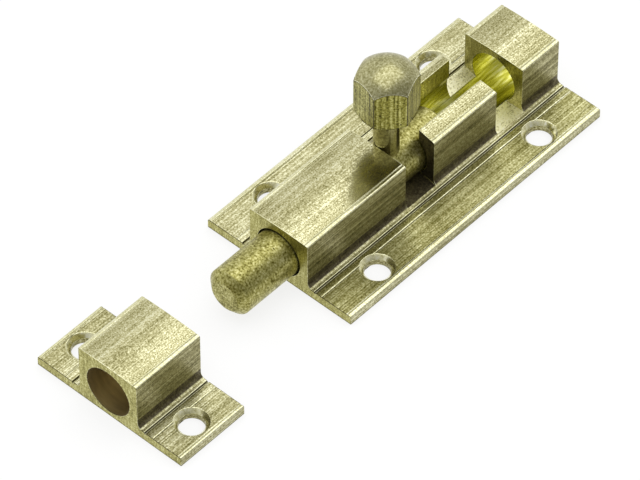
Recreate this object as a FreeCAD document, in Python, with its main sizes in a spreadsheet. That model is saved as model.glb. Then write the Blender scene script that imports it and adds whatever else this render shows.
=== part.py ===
import FreeCAD, Part
import math
import os
import Sketcher

# Solid brass sliding bolt with its keeper, in millimetres.
# The origin is the middle of the base plate's back face, +X runs towards the tail of the bolt,
# -Y is the near side, where the two cross slots open low, and +Z points out of the door.

doc = FreeCAD.newDocument("sliding_bolt_lock")

# Tolerances, in millimetres
SAME_PLACE = 1e-6
EDGE_REACH = 1e-4


# Driving dimensions
sheet = doc.addObject("Spreadsheet::Sheet", "dims")
DRIVING = {
    "base_length": 50.0,
    "base_width": 25.5,
    "plate_thickness": 1.5,
    "housing_width": 10.3,
    "housing_height": 9.5,
    "bore_diameter": 7.5,
    "bore_height": 4.6,
    "foot_radius": 0.8,
    "top_bevel": 0.2,
    "edge_bevel": 0.3,
    "groove_offset": 1.25,
    "groove_width": 0.45,
    "groove_depth": 0.25,
    "keeper_length": 11.9,
    "keeper_gap": 20.4,
    "keeper_hole_shift": 0.5,
    "hole_diameter": 3.6,
    "countersink_diameter": 4.8,
    "countersink_angle": 90.0,
    "hole_spacing_long": 32.4,
    "hole_spacing_wide": 19.0,
    "front_slot_start": -5.8,
    "front_slot_width": 5.6,
    "rear_slot_start": 12.5,
    "rear_slot_width": 5.1,
    "slot_floor": 1.6,
    "top_slot_near": 2.05,
    "top_slot_far": 3.4,
    "rail_front_slant": 0.4,
    "rail_back_slant": 0.2,
    "cutter_radius": 20.0,
    "cutter_stop": 2.6,
    "bolt_clearance": 0.24,
    "bolt_reach": 10.35,
    "bolt_length": 40.55,
    "nose_bevel_length": 1.0,
    "nose_bevel_depth": 1.15,
    "nose_round": 0.2,
    "tail_bevel": 0.3,
    "stem_diameter": 3.6,
    "stem_slot_gap": 0.05,
    "saddle_gap": 0.05,
    "spigot_diameter": 2.6,
    "spigot_length": 4.5,
    "knob_base_height": 15.5,
    "knob_width_flats": 7.75,
    "knob_height": 8.2,
    "knob_turn": 10.8,
    "knob_foot_angle": 30.0,
    "dome_margin": 1.0,
}
for row, (alias, size) in enumerate(DRIVING.items(), start=1):
    sheet.set(f"A{row}", alias)
    sheet.set(f"B{row}", str(size))
    sheet.setAlias(f"B{row}", alias)
doc.recompute()


# Sketch and body helpers
def number(expression):
    """The present value of an expression on the sheet's sizes."""
    value = sheet.evalExpression(expression)
    return float(getattr(value, "Value", value))


def new_body(label):
    body = doc.addObject("PartDesign::Body", label)
    body.Label = label
    return body


def place(body, **expressions):
    for axis, expression in expressions.items():
        body.setExpression(f"Placement.Base.{axis}", expression)


def new_sketch(body, name, plane, offset="0"):
    """A sketch on one of the body's own origin planes, moved along the plane's normal."""
    sketch = body.newObject("Sketcher::SketchObject", name)
    support = next(f for f in body.Origin.OriginFeatures if f.Role == plane)
    sketch.AttachmentSupport = [(support, "")]
    sketch.MapMode = "FlatFace"
    sketch.setExpression("AttachmentOffset.Base.z", offset)
    return sketch


def pin_point(sketch, geometry, position, **distances):
    """Hold one point of a sketch at the given distances across and up from the sketch's origin."""
    for kind, expression in distances.items():
        if abs(number(expression)) < SAME_PLACE:
            axis = -2 if kind == "DistanceX" else -1
            sketch.addConstraint(Sketcher.Constraint("PointOnObject", geometry, position, axis))
            continue
        constraint = Sketcher.Constraint(kind, -1, 1, geometry, position, number(expression))
        index = sketch.addConstraint(constraint)
        sketch.setExpression(f"Constraints[{index}]", expression)


def add_outline(sketch, corners, arcs=None):
    """A closed outline of pinned corners. arcs gives the centre of a side that is a rising arc."""
    arcs = arcs or {}
    points = [FreeCAD.Vector(number(across), number(up), 0) for across, up in corners]
    sides = []
    for i, start in enumerate(points):
        end = points[(i + 1) % len(points)]
        if i in arcs:
            centre = FreeCAD.Vector(number(arcs[i][0]), number(arcs[i][1]), 0)
            circle = Part.Circle(centre, FreeCAD.Vector(0, 0, 1), (start - centre).Length)
            shape = Part.ArcOfCircle(circle, circle.parameter(start), circle.parameter(end))
        else:
            shape = Part.LineSegment(start, end)
        sides.append(sketch.addGeometry(shape, False))
    for i, side in enumerate(sides):
        across, up = corners[i]
        pin_point(sketch, side, 1, DistanceX=across, DistanceY=up)
        sketch.addConstraint(Sketcher.Constraint("Coincident", side, 2, sides[(i + 1) % len(sides)], 1))
    for i, centre in arcs.items():
        pin_point(sketch, sides[i], 3, DistanceX=centre[0])


def add_circle(sketch, across, up, diameter):
    centre = FreeCAD.Vector(number(across), number(up), 0)
    circle = Part.Circle(centre, FreeCAD.Vector(0, 0, 1), number(diameter) / 2)
    geometry = sketch.addGeometry(circle, False)
    pin_point(sketch, geometry, 3, DistanceX=across, DistanceY=up)
    constraint = Sketcher.Constraint("Diameter", geometry, number(diameter))
    index = sketch.addConstraint(constraint)
    sketch.setExpression(f"Constraints[{index}]", diameter)


def add_pad(body, sketch, length):
    pad = body.newObject("PartDesign::Pad", sketch.Name + "_pad")
    pad.Profile = sketch
    pad.setExpression("Length", length)
    finish_feature(sketch)
    return pad


def add_cut(body, sketch, kind, **settings):
    """A pocket or groove. It has to take material away, so the volume is compared."""
    before = body.Shape.Volume
    cut = body.newObject("PartDesign::" + kind, sketch.Name + "_cut")
    cut.Profile = sketch
    expressions = settings.pop("expressions", {})
    for name, value in settings.items():
        setattr(cut, name, value)
    for name, expression in expressions.items():
        cut.setExpression(name, expression)
    finish_feature(sketch)
    if body.Shape.Volume >= before:
        raise ValueError(cut.Name + " cuts nothing")
    return cut


def finish_feature(sketch):
    sketch.Visibility = False
    doc.recompute()


def edges_along_x(feature, points):
    """Names of the straight edges that run along X through the given (y, z) points."""
    names = []
    for i, edge in enumerate(feature.Shape.Edges, start=1):
        start, end = edge.Vertexes[0].Point, edge.Vertexes[-1].Point
        if abs(start.y - end.y) + abs(start.z - end.z) > SAME_PLACE:
            continue
        if any(math.hypot(start.y - y, start.z - z) < EDGE_REACH for y, z in points):
            names.append(f"Edge{i}")
    if len(names) != len(points):
        raise ValueError(f"{feature.Name} has {len(names)} of {len(points)} edges")
    return names


def dress_edges(body, base, kind, name, points, size_name, expression):
    dress = body.newObject("PartDesign::" + kind, name)
    dress.Base = (base, edges_along_x(base, points))
    dress.setExpression(size_name, expression)
    doc.recompute()
    return dress


# The extruded section, which the base and the keeper are both cut from
def add_extrusion(body, length):
    sketch = new_sketch(body, body.Name + "_section", "YZ_Plane", f"-({length}) / 2")
    half_plate = "dims.base_width / 2"
    half_wall = "dims.housing_width / 2"
    top = "dims.plate_thickness"
    groove_bottom = "dims.plate_thickness - dims.groove_depth"
    groove = f"{half_wall} + dims.groove_offset"
    far_side = [
        (half_plate, "0"),
        (half_plate, top),
        (f"{groove} + dims.groove_width / 2", top),
        (groove, groove_bottom),
        (f"{groove} - dims.groove_width / 2", top),
        (half_wall, top),
        (half_wall, "dims.housing_height"),
    ]
    near_side = [(f"-({across})", up) for across, up in reversed(far_side)]
    add_outline(sketch, far_side + near_side)
    add_circle(sketch, "0", "dims.bore_height", "dims.bore_diameter")
    pad = add_pad(body, sketch, length)

    wall, plate = number(half_wall), number(half_plate)
    thickness, height = number(top), number("dims.housing_height")
    feet = [(wall, thickness), (-wall, thickness)]
    pad = dress_edges(body, pad, "Fillet", body.Name + "_feet", feet, "Radius", "dims.foot_radius")
    tops = [(wall, height), (-wall, height)]
    pad = dress_edges(body, pad, "Chamfer", body.Name + "_top", tops, "Size", "dims.top_bevel")
    rims = [(plate, thickness), (-plate, thickness)]
    return dress_edges(body, pad, "Chamfer", body.Name + "_rim", rims, "Size", "dims.edge_bevel")


def add_screw_holes(body, centres):
    sketch = new_sketch(body, body.Name + "_holes", "XY_Plane", "dims.plate_thickness")
    for across, up in centres:
        add_circle(sketch, across, up, "dims.hole_diameter")
    doc.recompute()
    before = body.Shape.Volume
    hole = body.newObject("PartDesign::Hole", body.Name + "_countersinks")
    hole.Profile = sketch
    hole.Threaded = False
    hole.DepthType = "ThroughAll"
    hole.HoleCutType = "Countersink"
    hole.HoleCutCustomValues = True
    hole.setExpression("Diameter", "dims.hole_diameter")
    hole.setExpression("HoleCutDiameter", "dims.countersink_diameter")
    hole.setExpression("HoleCutCountersinkAngle", "dims.countersink_angle")
    finish_feature(sketch)
    if body.Shape.Volume >= before:
        raise ValueError(hole.Name + " cuts nothing")


# Base plate and housing in one extrusion
def build_base_housing():
    body = new_body("base_housing")
    add_extrusion(body, "dims.base_length")
    add_top_slot(body)
    add_cross_slot(body, "front_slot", "dims.front_slot_start", "dims.front_slot_width")
    add_cross_slot(body, "rear_slot", "dims.rear_slot_start", "dims.rear_slot_width")
    add_rail_ends(body)
    long_half, wide_half = "dims.hole_spacing_long / 2", "dims.hole_spacing_wide / 2"
    centres = [(f"{x} * {long_half}", f"{y} * {wide_half}") for x in (-1, 1) for y in (-1, 1)]
    add_screw_holes(body, centres)
    return body


def add_top_slot(body):
    """The long slot that the stem travels in, between the far strip and the near rail."""
    sketch = new_sketch(body, "top_slot", "XY_Plane", "dims.bore_height")
    front, back = "dims.front_slot_start", "dims.rear_slot_start + dims.rear_slot_width"
    near, far = "-dims.top_slot_near", "dims.top_slot_far"
    add_outline(sketch, [(front, near), (back, near), (back, far), (front, far)])
    height = {"Length": "dims.housing_height"}
    add_cut(body, sketch, "Pocket", Reversed=True, expressions=height)


def add_cross_slot(body, name, start, width):
    """A slot across both walls: its floor is flat on the near side and rises in the far wall."""
    sketch = new_sketch(body, name, "YZ_Plane", start)
    floor, stop = "dims.slot_floor", "-dims.cutter_stop"
    near, far = "-dims.housing_width", "dims.housing_width"
    above = "2 * dims.housing_height"
    reach = "(dims.housing_width + dims.cutter_stop)"
    rise = f"dims.cutter_radius - sqrt(pow(dims.cutter_radius; 2) - pow({reach}; 2))"
    corners = [(near, floor), (stop, floor), (far, f"{floor} + {rise}"), (far, above), (near, above)]
    add_outline(sketch, corners, {1: (stop, f"{floor} + dims.cutter_radius")})
    add_cut(body, sketch, "Pocket", Reversed=True, expressions={"Length": width})


def add_rail_ends(body):
    """The near rail's two ends slant: each is further forward on the near side."""
    sketch = new_sketch(body, "rail_ends", "XY_Plane", "dims.slot_floor")
    outer, inner = "-dims.housing_width", "-dims.top_slot_near"
    slope = "dims.rail_back_slant / (dims.housing_width / 2 - dims.top_slot_near)"
    lean = f"{slope} * (dims.housing_width - dims.top_slot_near)"
    front = "dims.front_slot_start + dims.front_slot_width"
    wall = "-dims.housing_width / 2"
    add_outline(sketch, [(front, wall), (f"{front} + dims.rail_front_slant", inner), (front, inner)])
    back = "dims.rear_slot_start"
    add_outline(sketch, [(f"{back} - {lean}", outer), (back, outer), (back, inner)])
    height = {"Length": "dims.housing_height"}
    add_cut(body, sketch, "Pocket", Reversed=True, expressions=height)


# Keeper, a short length of the same extrusion, in line with the bolt
def build_keeper():
    body = new_body("keeper")
    add_extrusion(body, "dims.keeper_length")
    wide_half = "dims.hole_spacing_wide / 2"
    centres = [("-dims.keeper_hole_shift", f"{side} * {wide_half}") for side in (-1, 1)]
    add_screw_holes(body, centres)
    place(body, x="-dims.base_length / 2 - dims.keeper_gap - dims.keeper_length / 2")
    return body


# Round bolt, turned with a bevelled nose
BOLT_RADIUS = "(dims.bore_diameter / 2 - dims.bolt_clearance)"


def build_sliding_bolt():
    body = new_body("sliding_bolt")
    sketch = new_sketch(body, "bolt_profile", "XZ_Plane")
    corners = [
        ("0", "0"),
        ("0", f"{BOLT_RADIUS} - dims.nose_bevel_depth"),
        ("dims.nose_bevel_length", BOLT_RADIUS),
        ("dims.bolt_length - dims.tail_bevel", BOLT_RADIUS),
        ("dims.bolt_length", f"{BOLT_RADIUS} - dims.tail_bevel"),
        ("dims.bolt_length", "0"),
    ]
    add_outline(sketch, corners)
    turned = body.newObject("PartDesign::Revolution", "bolt_turned")
    turned.Profile = sketch
    turned.ReferenceAxis = (sketch, ["H_Axis"])
    turned.Angle = 360
    finish_feature(sketch)
    nose = [
        f"Edge{i}"
        for i, edge in enumerate(turned.Shape.Edges, start=1)
        if edge.Closed and edge.BoundBox.XMax < number("dims.nose_bevel_length") + EDGE_REACH
    ]
    rounded = body.newObject("PartDesign::Fillet", "nose_rounded")
    rounded.Base = (turned, nose)
    rounded.setExpression("Radius", "dims.nose_round")
    doc.recompute()
    place(body, x="-dims.base_length / 2 - dims.bolt_reach", z="dims.bore_height")
    return body


# Stem, standing on the bolt against the front end of the slot.
# Its foot starts inside the bolt's outline, and the saddle then hollows it to sit on the bolt.
STEM_X = "dims.front_slot_start + dims.stem_slot_gap + dims.stem_diameter / 2"
STEM_FOOT = f"{BOLT_RADIUS} / 2"
KNOB_Z = "dims.knob_base_height"


def build_knob_stem():
    body = new_body("knob_stem")
    sketch = new_sketch(body, "stem_profile", "XZ_Plane")
    stem_radius, spigot_radius = "dims.stem_diameter / 2", "dims.spigot_diameter / 2"
    shoulder = f"{KNOB_Z} - dims.bore_height"
    tip = f"{shoulder} + dims.spigot_length"
    corners = [
        ("0", STEM_FOOT),
        (stem_radius, STEM_FOOT),
        (stem_radius, shoulder),
        (spigot_radius, shoulder),
        (spigot_radius, tip),
        ("0", tip),
    ]
    add_outline(sketch, corners)
    turned = body.newObject("PartDesign::Revolution", "stem_turned")
    turned.Profile = sketch
    turned.ReferenceAxis = (sketch, ["V_Axis"])
    turned.Angle = 360
    finish_feature(sketch)
    saddle = new_sketch(body, "saddle", "YZ_Plane", "-dims.stem_diameter")
    add_circle(saddle, "0", "0", f"2 * ({BOLT_RADIUS} + dims.saddle_gap)")
    add_cut(body, saddle, "Pocket", Reversed=True, expressions={"Length": "2 * dims.stem_diameter"})
    place(body, x=STEM_X, z="dims.bore_height")
    return body


# Six-sided knob with a domed top and a bevelled foot. Both cutters work to just outside the
# knob's corners, which lie at the width over flats divided by the square root of 3.
KNOB_SIDES = 6
KNOB_CORNER = "dims.knob_width_flats / sqrt(3)"
OUTSIDE_CORNERS = f"({KNOB_CORNER} + dims.dome_margin / 2)"
DOME_RADIUS = f"({KNOB_CORNER} + dims.dome_margin)"


def build_knob():
    body = new_body("knob")
    sketch = new_sketch(body, "knob_hexagon", "XY_Plane")
    corners = []
    for i in range(KNOB_SIDES):
        angle = f"(270 deg - dims.knob_turn * 1 deg + {360 * i / KNOB_SIDES} deg)"
        corners.append((f"{KNOB_CORNER} * cos({angle})", f"{KNOB_CORNER} * sin({angle})"))
    add_outline(sketch, corners)
    add_pad(body, sketch, "dims.knob_height")

    dome = new_sketch(body, "dome_outside", "XZ_Plane")
    centre = f"dims.knob_height - {DOME_RADIUS}"
    rim_height = f"{centre} + sqrt(pow({DOME_RADIUS}; 2) - pow({OUTSIDE_CORNERS}; 2))"
    above = f"dims.knob_height + {DOME_RADIUS}"
    outside = [
        (OUTSIDE_CORNERS, rim_height),
        ("0", "dims.knob_height"),
        ("0", above),
        (OUTSIDE_CORNERS, above),
    ]
    add_outline(dome, outside, {0: ("0", centre)})
    add_cut(body, dome, "Groove", ReferenceAxis=(dome, ["V_Axis"]), Angle=360)

    foot = new_sketch(body, "foot_outside", "XZ_Plane")
    flat = "dims.knob_width_flats / 2"
    rise = f"({OUTSIDE_CORNERS} - {flat}) * tan(dims.knob_foot_angle * 1 deg)"
    add_outline(foot, [(flat, "0"), (OUTSIDE_CORNERS, "0"), (OUTSIDE_CORNERS, rise)])
    add_cut(body, foot, "Groove", ReferenceAxis=(foot, ["V_Axis"]), Angle=360)

    socket = new_sketch(body, "spigot_socket", "XY_Plane")
    add_circle(socket, "0", "0", "dims.spigot_diameter")
    depth = {"Length": "dims.spigot_length"}
    add_cut(body, socket, "Pocket", Reversed=True, expressions=depth)
    place(body, x=STEM_X, z=KNOB_Z)
    return body


pieces = [build_base_housing(), build_keeper(), build_sliding_bolt(), build_knob_stem(), build_knob()]
doc.recompute()

for item in doc.Objects:
    if "Invalid" in item.State or "Error" in item.State:
        raise ValueError(f"{item.Name} is {item.State}")
os.makedirs("parts", exist_ok=True)
for piece in pieces:
    if piece.Shape.isNull() or not piece.Shape.isValid():
        raise ValueError(f"{piece.Label} has no valid shape")
    piece.Shape.exportStep(f"parts/{piece.Label}.step")
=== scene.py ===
import math
import random

import bmesh
import bpy
from mathutils import Matrix, Vector


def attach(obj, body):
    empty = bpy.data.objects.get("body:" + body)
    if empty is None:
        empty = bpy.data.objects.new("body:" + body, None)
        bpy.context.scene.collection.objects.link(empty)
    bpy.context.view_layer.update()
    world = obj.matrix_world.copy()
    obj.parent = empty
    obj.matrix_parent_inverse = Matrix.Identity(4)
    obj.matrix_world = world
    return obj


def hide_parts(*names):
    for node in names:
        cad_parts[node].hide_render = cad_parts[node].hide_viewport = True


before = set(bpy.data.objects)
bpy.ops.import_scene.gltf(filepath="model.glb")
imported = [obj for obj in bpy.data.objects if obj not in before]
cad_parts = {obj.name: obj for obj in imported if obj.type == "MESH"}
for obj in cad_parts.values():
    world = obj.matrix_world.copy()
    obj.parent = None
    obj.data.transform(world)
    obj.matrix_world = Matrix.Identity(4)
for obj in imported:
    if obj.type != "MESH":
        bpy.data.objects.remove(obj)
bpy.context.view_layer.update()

# Visual model of a small brass sliding bolt and its keeper.
# Meshes are built in millimetres in the model's frame, and scaled to metres when they are done.
MM = 0.001

# Sizes that the solids share. A pair named for an axis or a slot is its start and end.
BASE_X = (-25.0, 25.0)
KEEPER_X = (-57.3, -45.4)
HALF_PLATE = 12.75
PLATE_TOP = 1.5
HALF_WALL = 5.15
HOUSING_TOP = 9.5
FOOT_RADIUS = 0.8
GROOVE_CENTRE = 6.4
GROOVE_HALF = 0.225
GROOVE_DEPTH = 0.25
BORE_Z = 4.6
BORE_RADIUS = 3.75
HOLE_RADIUS = 1.8
SINK_RADIUS = 2.4
HOLE_X = 16.2
HOLE_Y = 9.5
KEEPER_HOLE_X = -51.85
FRONT_SLOT = (-5.8, -0.2)
REAR_SLOT = (12.5, 17.6)
TOP_SLOT_Y = (-2.05, 3.4)
SLOT_FLOOR = 1.6
CUTTER_RADIUS = 20.0
CUTTER_STOP = -2.6
RAIL_FRONT_SLANT = 0.4
RAIL_BACK_SLANT = 0.2
BOLT_RADIUS = 3.51
BOLT_X = (-35.35, 5.2)
NOSE_LENGTH = 1.0
NOSE_DEPTH = 1.15
TAIL_BEVEL = 0.3
STEM_X = -3.95
STEM_RADIUS = 1.8
KNOB_Z = 15.5
KNOB_HEIGHT = 8.2
KNOB_FLATS = 7.75
KNOB_CORNER = KNOB_FLATS / math.sqrt(3)
KNOB_TURN = 10.8
KNOB_FOOT_ANGLE = 30.0
DOME_RADIUS = KNOB_CORNER + 1.0

# Forms of the stem that are out of sight: (radius, length) of its spigot and of the spigot's hole,
# and the gap between its saddle and the bolt
SPIGOT = (1.3, 4.5)
SPIGOT_HOLE = (1.32, 4.55)
SEAT_GAP = 0.03

# Roundings (across, down), the crown of the top, and wear
BASE_RIM = (0.52, 0.22)
KEEPER_RIM = (0.3, 0.2)
TOP_ROUND = (0.45, 0.2)
CROWN = 0.15
# How far up the wall the painted shade of its foot reaches
SHADED_FOOT_HEIGHT = 0.7
EXTRUSION_WEAR = 0.07
STEM_WEAR = 0.05
KNOB_WEAR = 0.1

# Dark marks along the extrusion: (distance from the run's start, width, depth).
# On either side of a mark lies a strip in the bright finish as wide as the glint: wear with a painted
# highlight.
RIM_MARKS = [(0.1, 0.15, 0.1)]
FOOT_MARKS = [(4.6, 0.1, 0.06)]
TOP_MARKS = [(0.1, 0.13, 0.08)]
GLINT = 0.07

# The bolt's worn nose: (along, outward) from the rim of its flat, and from its bevel's shoulder
NOSE_RIM = [(0.0, -0.2), (0.02, -0.08), (0.09, 0.06)]
NOSE_SHOULDER = [(-0.1, -0.13), (0.02, -0.03), (0.15, 0.0)]

# Cutters reach this far past what they cut, and those that are open upwards rise to the sky
SPARE = 1.0
SKY = 20.0

# Points nearer than the weld are one. Edges that turn by more than these angles in degrees
# break the shading, or wear round.
WELD = 0.0005
SHARP_ANGLE = 28
WORN_ANGLE = 32.0
KNOB_WORN_ANGLE = 20.0

# The most that the normal of an upright worn edge rises
UPRIGHT = 0.35


# Materials
PIT_CELLS = (1.1, 1.1, 1.1)
PIT_SIZE = 0.13


def brass(name, colours, roughness, layers, bump=0.012, rough_swing=0.12, pits=0.0, lengthwise=0.0,
          bottom_darkening=0.0):
    """Brass whose colour, roughness and bump follow layers of noise, with a share of dark pits.
    The colours run from the darkest to the lightest. Each layer is
    (fineness along X, Y and Z per millimetre, detail, share of colour, share of bump).
    Metal drawn lengthwise scatters light across its lines more than along them.
    Bottom darkening is the height in millimetres above the back face where the colour's darkening fades
    out."""
    material = bpy.data.materials.new(name)
    material.use_nodes = True
    nodes, links = material.node_tree.nodes, material.node_tree.links
    shader = nodes["Principled BSDF"]
    shader.inputs["Metallic"].default_value = 1.0
    if lengthwise:
        shader.inputs["Anisotropic"].default_value = lengthwise
        tangent = nodes.new("ShaderNodeTangent")
        tangent.direction_type = "RADIAL"
        tangent.axis = "X"
        links.new(tangent.outputs[0], shader.inputs["Tangent"])
    coords = nodes.new("ShaderNodeTexCoord")

    def maths(operation, first, second, third=0.0, clamp=False):
        node = nodes.new("ShaderNodeMath")
        node.operation = operation
        node.use_clamp = clamp
        for socket, value in zip(node.inputs, (first, second, third)):
            if isinstance(value, float):
                socket.default_value = value
            else:
                links.new(value, socket)
        return node.outputs[0]

    def summed(shares):
        """0.5 plus each layer's noise about its middle, times its share."""
        total = 0.5
        for socket, share in shares:
            total = maths("MULTIPLY_ADD", socket, share, maths("ADD", total, -share / 2))
        return total

    def stretched(fineness):
        """The object's own coordinates, times a fineness along X, Y and Z."""
        mapping = nodes.new("ShaderNodeMapping")
        mapping.inputs["Scale"].default_value = [f / MM for f in fineness]
        links.new(coords.outputs["Object"], mapping.inputs["Vector"])
        return mapping.outputs["Vector"]

    noises = []
    for fineness, detail, colour_share, bump_share in layers:
        texture = nodes.new("ShaderNodeTexNoise")
        texture.inputs["Scale"].default_value = 1.0
        texture.inputs["Detail"].default_value = detail
        texture.inputs["Roughness"].default_value = 0.6
        links.new(stretched(fineness), texture.inputs["Vector"])
        noises.append((texture.outputs["Fac"], colour_share, bump_share))
    pattern = summed([(n, c) for n, c, _ in noises if c])
    height = summed([(n, b) for n, _, b in noises if b])

    if pits:
        cells = nodes.new("ShaderNodeTexVoronoi")
        cells.inputs["Scale"].default_value = 1.0
        links.new(stretched(PIT_CELLS), cells.inputs["Vector"])
        channel = nodes.new("ShaderNodeSeparateColor")
        links.new(cells.outputs["Color"], channel.inputs[0])
        near = maths("LESS_THAN", cells.outputs["Distance"], PIT_SIZE)
        chosen = maths("MULTIPLY", near, maths("LESS_THAN", channel.outputs[0], pits))
        pattern = maths("SUBTRACT", pattern, chosen)
        height = maths("SUBTRACT", height, chosen)

    # Darker towards the back face
    if bottom_darkening:
        parts = nodes.new("ShaderNodeSeparateXYZ")
        links.new(stretched((1.0, 1.0, 1.0)), parts.inputs[0])
        fade = maths("MULTIPLY_ADD", parts.outputs["Z"], -1.0 / bottom_darkening, 1.0, clamp=True)
        pattern = maths("SUBTRACT", pattern, fade)

    ramp = nodes.new("ShaderNodeValToRGB")
    stops = ramp.color_ramp.elements
    stops.new(0.5)
    for stop, colour in zip(stops, colours):
        stop.color = (*colour, 1.0)
    links.new(pattern, ramp.inputs["Fac"])
    links.new(ramp.outputs["Color"], shader.inputs["Base Color"])
    worn = maths("MULTIPLY_ADD", pattern, -rough_swing, roughness + rough_swing / 2, clamp=True)
    links.new(worn, shader.inputs["Roughness"])
    bumps = nodes.new("ShaderNodeBump")
    bumps.inputs["Distance"].default_value = bump * MM
    links.new(height, bumps.inputs["Height"])
    links.new(bumps.outputs["Normal"], shader.inputs["Normal"])
    return material


FLECK = ((4.2, 4.2, 4.2), 1.0, 1.5, 0.6)
CLOUD = ((0.12, 0.2, 0.2), 2.0, 0.6, 0.0)
DIE_LINES = ((0.02, 5.0, 5.0), 2.0, 1.5, 1.0)
WIDE_LINES = ((0.008, 1.3, 1.3), 2.0, 0.7, 0.5)
DRAWN = brass(
    "drawn_brass", [(0.17, 0.155, 0.05), (0.43, 0.405, 0.21), (0.8, 0.785, 0.53)], 0.34,
    [DIE_LINES, WIDE_LINES, FLECK, CLOUD],
    bump=0.002, rough_swing=0.08, pits=0.1, lengthwise=0.7, bottom_darkening=0.3,
)
TOP = brass(
    "top_brass", [(0.15, 0.135, 0.04), (0.43, 0.405, 0.21), (0.8, 0.785, 0.53)], 0.21,
    [((0.02, 5.0, 5.0), 2.0, 0.9, 0.8), WIDE_LINES, ((5.0, 5.0, 5.0), 1.0, 1.7, 0.7), CLOUD],
    bump=0.003, rough_swing=0.2, pits=0.15,
)
WALL = brass(
    "wall_brass", [(0.08, 0.07, 0.015), (0.3, 0.275, 0.12), (0.62, 0.59, 0.34)], 0.36,
    [((0.02, 5.0, 5.0), 2.0, 2.0, 1.0), ((4.2, 4.2, 4.2), 1.0, 1.2, 0.6), CLOUD],
    bump=0.003, rough_swing=0.08, lengthwise=0.7,
)
SAWN = brass(
    "sawn_brass", [(0.17, 0.155, 0.03), (0.39, 0.362, 0.11), (0.76, 0.74, 0.36)], 0.3,
    [((3.0, 3.0, 0.4), 2.0, 1.0, 1.0), FLECK, CLOUD], bump=0.006, bottom_darkening=0.3,
)
# The rear slot floor's colour is far lighter than the other brass: a painted pool of light where light
# falls through the slot.
MILLED_AND_LIT = brass(
    "milled_brass_painted_light", [(0.4, 0.37, 0.17), (0.95, 0.925, 0.62), (1.0, 0.99, 0.82)], 0.45,
    [((0.5, 3.0, 3.0), 2.0, 1.0, 1.0), FLECK, CLOUD], bump=0.006,
)
REAMED = brass(
    "reamed_brass", [(0.28, 0.265, 0.01), (0.57, 0.555, 0.08), (0.95, 0.94, 0.5)], 0.26,
    [((0.3, 2.6, 2.6), 2.0, 2.0, 1.0), CLOUD], bump=0.006,
)
# Bright brass on rounded edges and beside dark marks: wear, with a painted highlight.
WEAR_AND_HIGHLIGHT = brass(
    "worn_edge_highlight_brass", [(0.42, 0.4, 0.2), (0.68, 0.66, 0.41), (0.9, 0.89, 0.68)], 0.2,
    [FLECK, CLOUD], bump=0.003,
)
# Dark brass: tarnish in the marks and grooves, painted shade on the knob's upright corners, and the dark
# edges round the back face and the plate's ends.
TARNISH_AND_SHADE = brass(
    "tarnish_and_shade_brass", [(0.03, 0.025, 0.01), (0.1, 0.088, 0.04), (0.25, 0.225, 0.1)], 0.5,
    [((0.3, 3.0, 3.0), 2.0, 1.6, 1.0), CLOUD], bump=0.006,
)
# Dark brass for painted shade: the front slot under the bolt, and the foot of the walls.
PAINTED_SHADE = brass(
    "painted_shade_brass", [(0.05, 0.04, 0.025), (0.14, 0.12, 0.07), (0.26, 0.235, 0.13)], 0.5,
    [((1.0, 1.0, 1.0), 2.0, 1.0, 1.0), FLECK, CLOUD], bump=0.006,
)
# Brown for the keeper's bore: painted shade inside the bore.
BORE_SHADE = brass(
    "bore_shade_brass", [(0.25, 0.2, 0.09), (0.43, 0.345, 0.16), (0.6, 0.5, 0.24)], 0.5,
    [((1.6, 0.3, 0.3), 2.0, 0.8, 0.8), CLOUD], bump=0.006,
)
TURNED = brass(
    "turned_brass", [(0.12, 0.105, 0.015), (0.375, 0.35, 0.112), (0.66, 0.63, 0.31)], 0.38,
    [((4.0, 0.8, 0.8), 2.0, 0.8, 0.8), ((3.4, 3.4, 3.4), 1.0, 1.8, 0.9), CLOUD],
    bump=0.008, pits=0.3,
)
STEM = brass(
    "stem_brass", [(0.14, 0.12, 0.04), (0.46, 0.43, 0.19), (0.7, 0.67, 0.38)], 0.22,
    [((0.8, 0.8, 4.0), 2.0, 0.8, 0.8), ((3.4, 3.4, 3.4), 1.0, 1.2, 0.6), CLOUD], bump=0.004,
)
DOME = brass(
    "domed_brass", [(0.12, 0.11, 0.03), (0.35, 0.33, 0.155), (0.66, 0.64, 0.4)], 0.28,
    [((2.6, 2.6, 0.05), 2.0, 0.6, 0.6), ((3.6, 3.6, 3.6), 1.0, 1.2, 0.6), CLOUD],
    bump=0.005, pits=0.1,
)
FACET = brass(
    "facet_brass", [(0.03, 0.026, 0.004), (0.255, 0.237, 0.045), (0.54, 0.52, 0.2)], 0.28,
    [((3.2, 3.2, 0.05), 2.0, 1.8, 1.0), ((3.6, 3.6, 3.6), 1.0, 1.4, 0.6), CLOUD],
    bump=0.005, pits=0.1,
)
# The countersinks' colour is far lighter than the other brass: a painted highlight.
SINK = brass(
    "countersink_highlight_brass", [(0.5, 0.47, 0.22), (0.85, 0.82, 0.5), (1.0, 0.99, 0.8)], 0.22,
    [((2.4, 2.4, 0.3), 2.0, 2.0, 1.0), CLOUD], bump=0.006,
)
# A darker copy of the drawn brass, painted shade, for the base's near flange.
DRAWN_SHADED = brass(
    "drawn_brass_painted_shade", [(0.12, 0.108, 0.02), (0.33, 0.31, 0.12), (0.68, 0.66, 0.37)], 0.34,
    [DIE_LINES, WIDE_LINES, FLECK, CLOUD],
    bump=0.002, rough_swing=0.08, pits=0.1, lengthwise=0.7,
)

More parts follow.
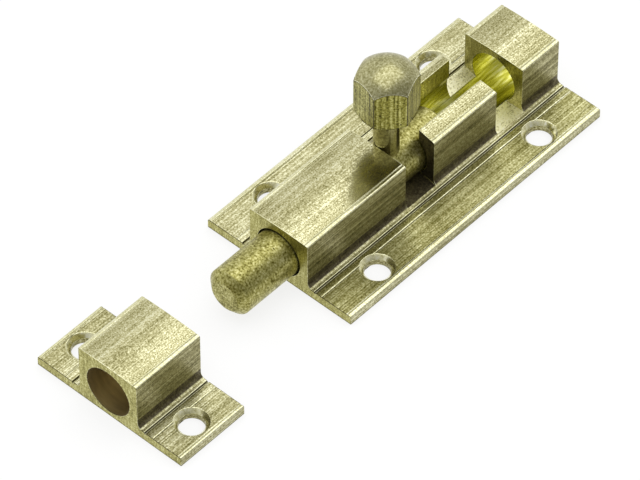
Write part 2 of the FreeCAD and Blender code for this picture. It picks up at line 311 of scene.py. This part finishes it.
# Each list of finishes, and the number of each of its faces' finishes
FINISHES = [DRAWN, TOP, WALL, SAWN, REAMED, WEAR_AND_HIGHLIGHT, TARNISH_AND_SHADE, MILLED_AND_LIT, PAINTED_SHADE, BORE_SHADE, SINK, DRAWN_SHADED]
DRAWN_FACE, TOP_FACE, WALL_FACE, SAWN_FACE, REAMED_FACE, WEAR_HIGHLIGHT_FACE = range(6)
TARNISH_SHADE_FACE, MILLED_LIT_FACE, PAINTED_SHADE_FACE, BORE_SHADE_FACE, SINK_FACE, DRAWN_SHADED_FACE = range(6, 12)
KNOB_FINISHES = [DOME, WEAR_AND_HIGHLIGHT, FACET, TARNISH_AND_SHADE]
DOME_FACE, KNOB_WEAR_HIGHLIGHT_FACE, FACET_FACE, SHADED_CORNER_FACE = range(4)


# Mesh building
def new_object(name, points, faces, finish=0, finishes=None):
    """A piece whose faces all have the numbered one of the given finishes, or of the extrusions'."""
    mesh = bpy.data.meshes.new(name)
    mesh.from_pydata(points, [], faces)
    for material in finishes or FINISHES:
        mesh.materials.append(material)
    mesh.polygons.foreach_set("material_index", [finish] * len(mesh.polygons))
    shape = bmesh.new()
    shape.from_mesh(mesh)
    bmesh.ops.recalc_face_normals(shape, faces=shape.faces)
    shape.to_mesh(mesh)
    shape.free()
    piece = bpy.data.objects.new(name, mesh)
    bpy.context.scene.collection.objects.link(piece)
    return piece


def prism(name, outline, start, end, axis="X", finish=0, finishes=None, side_finishes=None):
    """A closed outline swept straight from start to end along X or Z."""
    count = len(outline)
    place = (lambda a, b, c: (c, a, b)) if axis == "X" else (lambda a, b, c: (a, b, c))
    points = [place(a, b, c) for c in (start, end) for a, b in outline]
    faces = [list(range(count)), list(range(count, 2 * count))]
    for i in range(count):
        j = (i + 1) % count
        faces.append([i, j, count + j, count + i])
    piece = new_object(name, points, faces, finish, finishes)
    if side_finishes:
        piece.data.polygons.foreach_set("material_index", [finish, finish] + side_finishes)
    return piece


def lathe(name, profile, centre, axis="X", segments=96, finish=0, finishes=None, phase=0.0):
    """A solid turned from (along, radius) points. The first and last lie on the axis."""
    rings = profile[1:-1]
    points = []
    for along, radius in rings:
        for k in range(segments):
            angle = 2 * math.pi * (k + phase) / segments
            side, up = radius * math.cos(angle), radius * math.sin(angle)
            offset = (along, side, up) if axis == "X" else (side, up, along)
            points.append([c + o for c, o in zip(centre, offset)])
    faces = []
    for r in range(len(rings) - 1):
        for k in range(segments):
            m = (k + 1) % segments
            a, b = r * segments, (r + 1) * segments
            faces.append([a + k, a + m, b + m, b + k])
    for tip, first in ((profile[0][0], 0), (profile[-1][0], (len(rings) - 1) * segments)):
        index = len(points)
        offset = (tip, 0, 0) if axis == "X" else (0, 0, tip)
        points.append([c + o for c, o in zip(centre, offset)])
        for k in range(segments):
            faces.append([index, first + k, first + (k + 1) % segments])
    return new_object(name, points, faces, finish, finishes)


def cut(piece, tools, operation="DIFFERENCE"):
    """Cut each tool from the piece, or keep only what both hold, and delete the tools."""
    for tool in tools:
        step = piece.modifiers.new("cut", "BOOLEAN")
        step.operation = operation
        step.solver = "EXACT"
        step.object = tool
    graph = bpy.context.evaluated_depsgraph_get()
    mesh = bpy.data.meshes.new_from_object(piece.evaluated_get(graph))
    piece.modifiers.clear()
    piece.data = mesh
    for tool in tools:
        bpy.data.objects.remove(tool)


def soften(piece, width, edge_finish=None, upright_finish=0, least=WORN_ANGLE, segments=2):
    """Round every edge that turns more than the least angle. A given edge finish, wear with a painted
    highlight, goes on the rounding, and upright roundings take the upright finish instead.
    """
    shape = bmesh.new()
    shape.from_mesh(piece.data)
    bmesh.ops.remove_doubles(shape, verts=shape.verts, dist=WELD)
    bmesh.ops.dissolve_degenerate(shape, edges=shape.edges, dist=WELD)
    sharp = [e for e in shape.edges if e.is_manifold and e.calc_face_angle() > math.radians(least)]
    bmesh.ops.bevel(
        shape, geom=sharp, offset=width, offset_type="OFFSET", segments=segments, profile=0.5,
        affect="EDGES", clamp_overlap=False, material=-1 if edge_finish is None else edge_finish,
    )
    if edge_finish is not None:
        for face in shape.faces:
            if face.material_index == edge_finish and abs(face.normal.z) < UPRIGHT:
                face.material_index = upright_finish
    shape.to_mesh(piece.data)
    shape.free()


def settle(piece, body, *nodes, slot):
    """Smooth the shading, scale to metres, and let the piece stand for its nodes."""
    piece.data.transform(Matrix.Scale(MM, 4))
    piece.data.polygons.foreach_set("use_smooth", [True] * len(piece.data.polygons))
    piece.data.set_sharp_from_angle(angle=math.radians(SHARP_ANGLE))
    weighted = piece.modifiers.new("even_shading", "WEIGHTED_NORMAL")
    weighted.keep_sharp = True
    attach(piece, body)
    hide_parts(*nodes)
    return piece


def arc(centre, radius, start, end, steps, flatness=1.0):
    """Points round a centre, angles in degrees from the first coordinate's axis."""
    points = []
    for i in range(steps + 1):
        angle = math.radians(start + (end - start) * i / steps)
        up = radius * flatness * math.sin(angle)
        points.append((centre[0] + radius * math.cos(angle), centre[1] + up))
    return points


# Extruded section. Each side is its starting point (across, up) and its finish,
# and the sides go round with the metal on the left.
def scored(start, end, seed, marks=(), finish=DRAWN_FACE, margin=0.15, pitch=(0.08, 0.3),
           slope=(4.0, 13.0)):
    """A straight run with fine die lines, and with dark marks (distance, width, depth)."""
    draw = random.Random(seed)
    a, b = Vector(start), Vector(end)
    length = (b - a).length
    along = (b - a) / length
    inward = Vector((-along.y, along.x))
    lines = [(*mark, TARNISH_SHADE_FACE) for mark in marks]
    at = margin
    while at < length - margin:
        width = draw.uniform(0.08, 0.2)
        depth = width / 2 * math.tan(math.radians(draw.uniform(*slope)))
        free = all(at + width + 2 * GLINT < m or m + w + 2 * GLINT < at for m, w, _ in marks)
        if free and at + width < length - margin:
            lines.append((at, width, depth, finish))
        at += width + draw.uniform(*pitch)
    sides = [(a, finish)]
    for at, width, depth, inside in sorted(lines):
        dark = inside == TARNISH_SHADE_FACE
        if dark:
            sides.append((a + along * (at - GLINT), WEAR_HIGHLIGHT_FACE))
        sides.append((a + along * at, inside))
        sides.append((a + along * (at + width / 2) + inward * depth, inside))
        sides.append((a + along * (at + width), WEAR_HIGHLIGHT_FACE if dark else finish))
        if dark:
            sides.append((a + along * (at + width + GLINT), finish))
    return sides


def rounded(corner, across, down):
    """An elliptic rounding of a corner, from the side up to the top.
    It ends short of the top's first point."""
    points = arc((corner[0] - across, corner[1] - down), across, 0, 90, 6, down / across)
    return [(point, WEAR_HIGHLIGHT_FACE) for point in points[:-1]]


def crown_fall(across):
    """How far the crowned top lies below its middle."""
    return CROWN * (across / HALF_WALL) ** 2


def half_section(seed, rim_round, flange_finish):
    """The far half, from the middle of the back face round to the middle of the top."""
    groove_out, groove_in = GROOVE_CENTRE + GROOVE_HALF, GROOVE_CENTRE - GROOVE_HALF
    rim = (HALF_PLATE, PLATE_TOP)
    sides = scored((0.0, 0.0), (HALF_PLATE, 0.0), seed, margin=0.4, slope=(2.0, 6.0))
    sides += [((HALF_PLATE, 0.0), DRAWN_FACE)] + rounded(rim, *rim_round)
    flange = ((HALF_PLATE - rim_round[0], PLATE_TOP), (groove_out + GLINT, PLATE_TOP))
    sides += scored(*flange, seed + 1, RIM_MARKS + FOOT_MARKS, flange_finish)
    sides += [
        ((groove_out + GLINT, PLATE_TOP), WEAR_HIGHLIGHT_FACE),
        ((groove_out, PLATE_TOP), TARNISH_SHADE_FACE),
        ((GROOVE_CENTRE, PLATE_TOP - GROOVE_DEPTH), TARNISH_SHADE_FACE),
        ((groove_in, PLATE_TOP), flange_finish),
    ]
    foot_centre = (HALF_WALL + FOOT_RADIUS, PLATE_TOP + FOOT_RADIUS)
    foot = arc(foot_centre, FOOT_RADIUS, -90, -180, 8)
    # The foot's upper part and the wall's lowest stretch get the dark finish: painted shade in the
    # crease.
    sides += [(point, DRAWN_FACE) for point in foot[:3]] + [(point, PAINTED_SHADE_FACE) for point in foot[3:]]
    edge = HALF_WALL - TOP_ROUND[0]
    corner = (HALF_WALL, HOUSING_TOP - crown_fall(edge))
    wall = ((HALF_WALL, foot[-1][1] + SHADED_FOOT_HEIGHT), (HALF_WALL, corner[1] - TOP_ROUND[1]))
    sides += scored(*wall, seed + 2, finish=WALL_FACE) + rounded(corner, *TOP_ROUND)
    top = ((edge, HOUSING_TOP), (0.0, HOUSING_TOP))
    flat = scored(*top, seed + 3, TOP_MARKS, TOP_FACE, pitch=(0.3, 1.0), slope=(1.0, 4.0))
    sides += [((across, up - crown_fall(across)), finish) for (across, up), finish in flat]
    return sides


def section(seed, rim_round, near_finish):
    """The whole outline and the finish of each of its sides."""
    far = half_section(seed, rim_round, DRAWN_FACE)
    near = half_section(seed + 4, rim_round, near_finish)
    points = [point for point, _ in far] + [(0.0, HOUSING_TOP)]
    finishes = [finish for _, finish in far]
    for (across, up), finish in reversed(near):
        finishes.append(finish)
        if across:
            points.append((-across, up))
    return points, finishes


def extrusion(name, seed, ends, rim_round, near_finish):
    """A length of the section, whose near flange has a finish of its own."""
    points, finishes = section(seed, rim_round, near_finish)
    return prism(name, points, *ends, finish=DRAWN_FACE, side_finishes=finishes)


def screw_hole(x, y):
    """A through hole with its countersink, as one turned cutter."""
    sink = SINK_RADIUS - HOLE_RADIUS
    profile = [
        (-SPARE, 0.0), (-SPARE, HOLE_RADIUS), (PLATE_TOP - sink, HOLE_RADIUS),
        (PLATE_TOP, SINK_RADIUS), (PLATE_TOP + SPARE, SINK_RADIUS + SPARE), (PLATE_TOP + SPARE, 0.0),
    ]
    # The countersink gets the very light finish: painted highlight.
    cutter = lathe("screw_cutter", profile, (x, y, 0.0), "Z", 72, SINK_FACE)
    for face in cutter.data.polygons:
        if abs(face.normal.z) < 0.1:
            face.material_index = WALL_FACE
    return cutter


def bore(start, end, finish):
    """The bore's cutter."""
    profile = [
        (start - SPARE, 0.0), (start - SPARE, BORE_RADIUS), (end + SPARE, BORE_RADIUS),
        (end + SPARE, 0.0),
    ]
    return lathe("bore_cutter", profile, (0.0, 0.0, BORE_Z), "X", 144, finish, phase=0.5)


def cross_slot(start, end, rail_side, floor_finish, wall_finish):
    """The disc cutter's slot, as two cutters: flat under the near wall, where the rail's end leans
    as the given outline says, and rising in the far wall. They meet inside the bore."""
    reach = HALF_WALL * 2
    meeting = TOP_SLOT_Y[0] - 0.15
    steps = 16
    rising = []
    for i in range(steps + 1):
        across = meeting + (reach - meeting) * i / steps
        rise = CUTTER_RADIUS - math.sqrt(CUTTER_RADIUS ** 2 - (across - CUTTER_STOP) ** 2)
        rising.append((across, SLOT_FLOOR + rise))
    finishes = [floor_finish] * steps + [wall_finish] * 3
    outline = rising + [(reach, SKY), (meeting, SKY)]
    far = prism("far_slot", outline, start, end, "X", wall_finish, side_finishes=finishes)
    near = prism("near_slot", rail_side, SLOT_FLOOR, SKY, "Z", wall_finish)
    near.data.polygons[0].material_index = floor_finish
    return [far, near]


def off_end(face, ends):
    """How far a face's middle lies along X from the nearer end."""
    return min(abs(face.center.x - end) for end in ends)


def finish_ends(piece, ends):
    """The two cut ends have the saw's finish."""
    for face in piece.data.polygons:
        if abs(face.normal.x) > 0.99 and off_end(face, ends) < 0.001:
            face.material_index = SAWN_FACE


def darken_edges(piece, ends, band=0.1):
    """The rounded edges round the back face and across the plate's ends are drawn dark, not bright."""
    for face in piece.data.polygons:
        at_back = face.center.z < band
        at_end = off_end(face, ends) < band and face.center.z < PLATE_TOP + band / 2
        if face.material_index == WEAR_HIGHLIGHT_FACE and (at_back or at_end):
            face.material_index = TARNISH_SHADE_FACE


def build_base():
    # The base's near flange gets the darker copy of the drawn brass: painted shade.
    piece = extrusion("extruded_base", 11, BASE_X, BASE_RIM, DRAWN_SHADED_FACE)
    near, far = TOP_SLOT_Y
    outer = -HALF_WALL * 2
    start, end = FRONT_SLOT
    lean = RAIL_BACK_SLANT / (HALF_WALL + near) * (near - outer)
    front_side = [
        (start, outer), (end, outer), (end, -HALF_WALL), (end + RAIL_FRONT_SLANT, near), (start, near),
    ]
    back_side = [
        (REAR_SLOT[0] - lean, outer), (REAR_SLOT[1], outer), (REAR_SLOT[1], near), (REAR_SLOT[0], near),
    ]
    middle = sum(FRONT_SLOT) / 2, sum(REAR_SLOT) / 2
    slot = [(middle[0], near), (middle[1], near), (middle[1], far), (middle[0], far)]
    tools = [
        bore(*BASE_X, REAMED_FACE),
        prism("top_slot_cutter", slot, BORE_Z, SKY, "Z", SAWN_FACE),
    ]
    # The front slot is drawn dark all through: painted shade under the bolt and knob.
    tools += cross_slot(*FRONT_SLOT, front_side, PAINTED_SHADE_FACE, PAINTED_SHADE_FACE)
    # The rear slot's floors get the very light milled colour: painted light.
    tools += cross_slot(*REAR_SLOT, back_side, MILLED_LIT_FACE, SAWN_FACE)
    tools += [screw_hole(x * HOLE_X, y * HOLE_Y) for x in (-1, 1) for y in (-1, 1)]
    cut(piece, tools)
    finish_ends(piece, BASE_X)
    soften(piece, EXTRUSION_WEAR, WEAR_HIGHLIGHT_FACE)
    darken_edges(piece, BASE_X)
    return settle(piece, "housing", "base_housing", slot="extruded_brass")


def build_keeper():
    piece = extrusion("extruded_keeper", 47, KEEPER_X, KEEPER_RIM, DRAWN_FACE)
    # The keeper's bore is drawn brown: painted shade.
    tools = [bore(*KEEPER_X, BORE_SHADE_FACE)]
    tools += [screw_hole(KEEPER_HOLE_X, y * HOLE_Y) for y in (-1, 1)]
    cut(piece, tools)
    finish_ends(piece, KEEPER_X)
    soften(piece, EXTRUSION_WEAR, WEAR_HIGHLIGHT_FACE)
    darken_edges(piece, KEEPER_X)
    return settle(piece, "housing", "keeper", slot="extruded_brass")


def build_bolt():
    start, end = BOLT_X
    draw = random.Random(5)
    tip = BOLT_RADIUS - NOSE_DEPTH
    profile = [(start, 0.0), (start, tip / 2)]
    profile += [(start + along, tip + out) for along, out in NOSE_RIM]
    profile += [(start + NOSE_LENGTH + along, BOLT_RADIUS + out) for along, out in NOSE_SHOULDER]
    along, last = start + NOSE_LENGTH + 0.4, end - 0.6
    while along < last:
        width = draw.uniform(0.1, 0.22)
        depth = width / 2 * math.tan(math.radians(draw.uniform(1.0, 4.0)))
        profile += [
            (along, BOLT_RADIUS), (along + width / 2, BOLT_RADIUS - depth), (along + width, BOLT_RADIUS),
        ]
        along += width + draw.uniform(0.1, 0.5)
    profile += [
        (end - TAIL_BEVEL, BOLT_RADIUS), (end, BOLT_RADIUS - TAIL_BEVEL), (end, 1.5), (end, 0.0),
    ]
    piece = lathe("round_bolt", profile, (0.0, 0.0, BORE_Z), "X", 96, 0, [TURNED])
    return settle(piece, "bolt", "sliding_bolt", slot="turned_brass")


def build_stem():
    foot, top = BORE_Z + BOLT_RADIUS / 2, KNOB_Z
    spigot, length = SPIGOT
    profile = [
        (foot, 0.0), (foot, STEM_RADIUS), (top, STEM_RADIUS), (top, spigot),
        (top + length, spigot), (top + length, 0.0),
    ]
    piece = lathe("stem", profile, (STEM_X, 0.0, 0.0), "Z", 64, 0, [STEM])
    radius, reach = BOLT_RADIUS + SEAT_GAP, 3.0
    seat = [(-reach, 0.0), (-reach, radius), (reach, radius), (reach, 0.0)]
    cut(piece, [lathe("seat_cutter", seat, (STEM_X, 0.0, BORE_Z), "X", 144, 0, [STEM])])
    soften(piece, STEM_WEAR)
    return settle(piece, "knob", "knob_stem", slot="turned_brass")


def build_knob():
    top = KNOB_Z + KNOB_HEIGHT
    outline = []
    for i in range(6):
        angle = math.radians(270 - KNOB_TURN + 60 * i)
        outline.append((STEM_X + KNOB_CORNER * math.cos(angle), KNOB_CORNER * math.sin(angle)))
    piece = prism("hexagon_knob", outline, KNOB_Z, top + SPARE, "Z", FACET_FACE, KNOB_FINISHES)
    widest = math.degrees(math.asin((KNOB_CORNER + 0.5) / DOME_RADIUS))
    dome = arc((top - DOME_RADIUS, 0.0), DOME_RADIUS, 0, widest, 24)
    rise = (dome[-1][1] - KNOB_FLATS / 2) * math.tan(math.radians(KNOB_FOOT_ANGLE))
    foot = [
        (KNOB_Z - SPARE, 0.0), (KNOB_Z - SPARE, KNOB_FLATS / 2), (KNOB_Z, KNOB_FLATS / 2),
        (KNOB_Z + rise, dome[-1][1]),
    ]
    profile = foot + list(reversed(dome))
    centre = (STEM_X, 0.0, 0.0)
    shape = lathe("dome_shape", profile, centre, "Z", 120, DOME_FACE, KNOB_FINISHES)
    cut(piece, [shape], "INTERSECT")
    radius, depth = SPIGOT_HOLE
    hole = [
        (KNOB_Z - SPARE, 0.0), (KNOB_Z - SPARE, radius), (KNOB_Z + depth, radius), (KNOB_Z + depth, 0.0),
    ]
    cut(piece, [lathe("spigot_cutter", hole, centre, "Z", 64, FACET_FACE, KNOB_FINISHES)])
    # The knob's upright corner edges get the dark finish: painted shade.
    soften(piece, KNOB_WEAR, KNOB_WEAR_HIGHLIGHT_FACE, SHADED_CORNER_FACE, least=KNOB_WORN_ANGLE)
    return settle(piece, "knob", "knob", slot="turned_brass")


# Camera at the photograph's angle
AZIMUTH = math.radians(-47.71)
ELEVATION = math.radians(48.346)
DISTANCE = 0.7905
AIM = (-0.016737, 0.000193, 0.0)
LENS = 336.87


def build_camera():
    back = Vector((
        math.sin(AZIMUTH) * math.cos(ELEVATION),
        -math.cos(AZIMUTH) * math.cos(ELEVATION),
        math.sin(ELEVATION),
    ))
    data = bpy.data.cameras.new("camera")
    data.lens = LENS
    data.sensor_width = 36.0
    data.clip_start = 0.01
    data.clip_end = 20.0
    camera = bpy.data.objects.new("camera", data)
    camera.location = Vector(AIM) + back * DISTANCE
    camera.rotation_mode = "QUATERNION"
    camera.rotation_quaternion = (-back).to_track_quat("-Z", "Y")
    bpy.context.scene.collection.objects.link(camera)
    bpy.context.scene.camera = camera


# Studio: pale floor, white surroundings and one large soft lamp
WHITE = (1.0, 1.0, 1.0, 1.0)
SHOWN_LEVEL = 0.72
SHOWN_SLOPE = (0.15, 0.4, 0.0)
FLOOR_COLOUR = (0.9, 0.9, 0.89, 1.0)
FLOOR_GLOW = 0.8
FLOOR_HALF = 3.0
FLOOR_LEVEL = -0.00003


def seen_directly(nodes, links):
    """1 for rays that show the background: straight, mirrored or through glass."""
    path = nodes.new("ShaderNodeLightPath")
    total = path.outputs["Is Camera Ray"]
    for name in ("Is Glossy Ray", "Is Transmission Ray"):
        maths = nodes.new("ShaderNodeMath")
        maths.operation = "MAXIMUM"
        links.new(total, maths.inputs[0])
        links.new(path.outputs[name], maths.inputs[1])
        total = maths.outputs[0]
    return total


def build_world():
    """Even light on dull surfaces. Reflections show a background that is brighter towards +X and +Y."""
    world = bpy.data.worlds.new("studio")
    world.use_nodes = True
    bpy.context.scene.world = world
    nodes, links = world.node_tree.nodes, world.node_tree.links
    fill = nodes["Background"]
    fill.inputs["Color"].default_value = WHITE
    fill.inputs["Strength"].default_value = 1.0
    shown = nodes.new("ShaderNodeBackground")
    shown.inputs["Color"].default_value = WHITE
    coords = nodes.new("ShaderNodeTexCoord")
    slope = nodes.new("ShaderNodeVectorMath")
    slope.operation = "DOT_PRODUCT"
    slope.inputs[1].default_value = SHOWN_SLOPE
    links.new(coords.outputs["Generated"], slope.inputs[0])
    level = nodes.new("ShaderNodeMath")
    level.operation = "ADD"
    level.inputs[1].default_value = SHOWN_LEVEL
    links.new(slope.outputs["Value"], level.inputs[0])
    links.new(level.outputs[0], shown.inputs["Strength"])
    mix = nodes.new("ShaderNodeMixShader")
    links.new(seen_directly(nodes, links), mix.inputs[0])
    links.new(fill.outputs[0], mix.inputs[1])
    links.new(shown.outputs[0], mix.inputs[2])
    links.new(mix.outputs[0], nodes["World Output"].inputs["Surface"])


def build_floor():
    """A floor that shows nearly white and still takes the object's shadow."""
    material = bpy.data.materials.new("pale_floor")
    material.use_nodes = True
    nodes, links = material.node_tree.nodes, material.node_tree.links
    nodes.remove(nodes["Principled BSDF"])
    diffuse = nodes.new("ShaderNodeBsdfDiffuse")
    diffuse.inputs["Color"].default_value = FLOOR_COLOUR
    glow = nodes.new("ShaderNodeEmission")
    links.new(seen_directly(nodes, links), glow.inputs["Strength"])
    mix = nodes.new("ShaderNodeMixShader")
    mix.inputs[0].default_value = FLOOR_GLOW
    links.new(diffuse.outputs[0], mix.inputs[1])
    links.new(glow.outputs[0], mix.inputs[2])
    links.new(mix.outputs[0], nodes["Material Output"].inputs["Surface"])
    corners = [(-1, -1), (1, -1), (1, 1), (-1, 1)]
    mesh = bpy.data.meshes.new("floor")
    points = [(x * FLOOR_HALF, y * FLOOR_HALF, FLOOR_LEVEL) for x, y in corners]
    mesh.from_pydata(points, [], [(0, 1, 2, 3)])
    mesh.materials.append(material)
    floor = bpy.data.objects.new("floor", mesh)
    bpy.context.scene.collection.objects.link(floor)


def add_light(name, place, size, power):
    """A rectangular lamp that faces straight down."""
    data = bpy.data.lights.new(name, "AREA")
    data.shape = "RECTANGLE"
    data.size, data.size_y = size
    data.energy = power
    light = bpy.data.objects.new(name, data)
    light.location = place
    bpy.context.scene.collection.objects.link(light)


build_camera()
build_world()
build_floor()
add_light("overhead_softbox", place=(0.3, 0.115, 1.2), size=(1.8, 1.23), power=6.2)
build_base()
build_keeper()
build_bolt()
build_stem()
build_knob()
bpy.context.scene.view_settings.view_transform = "Standard"
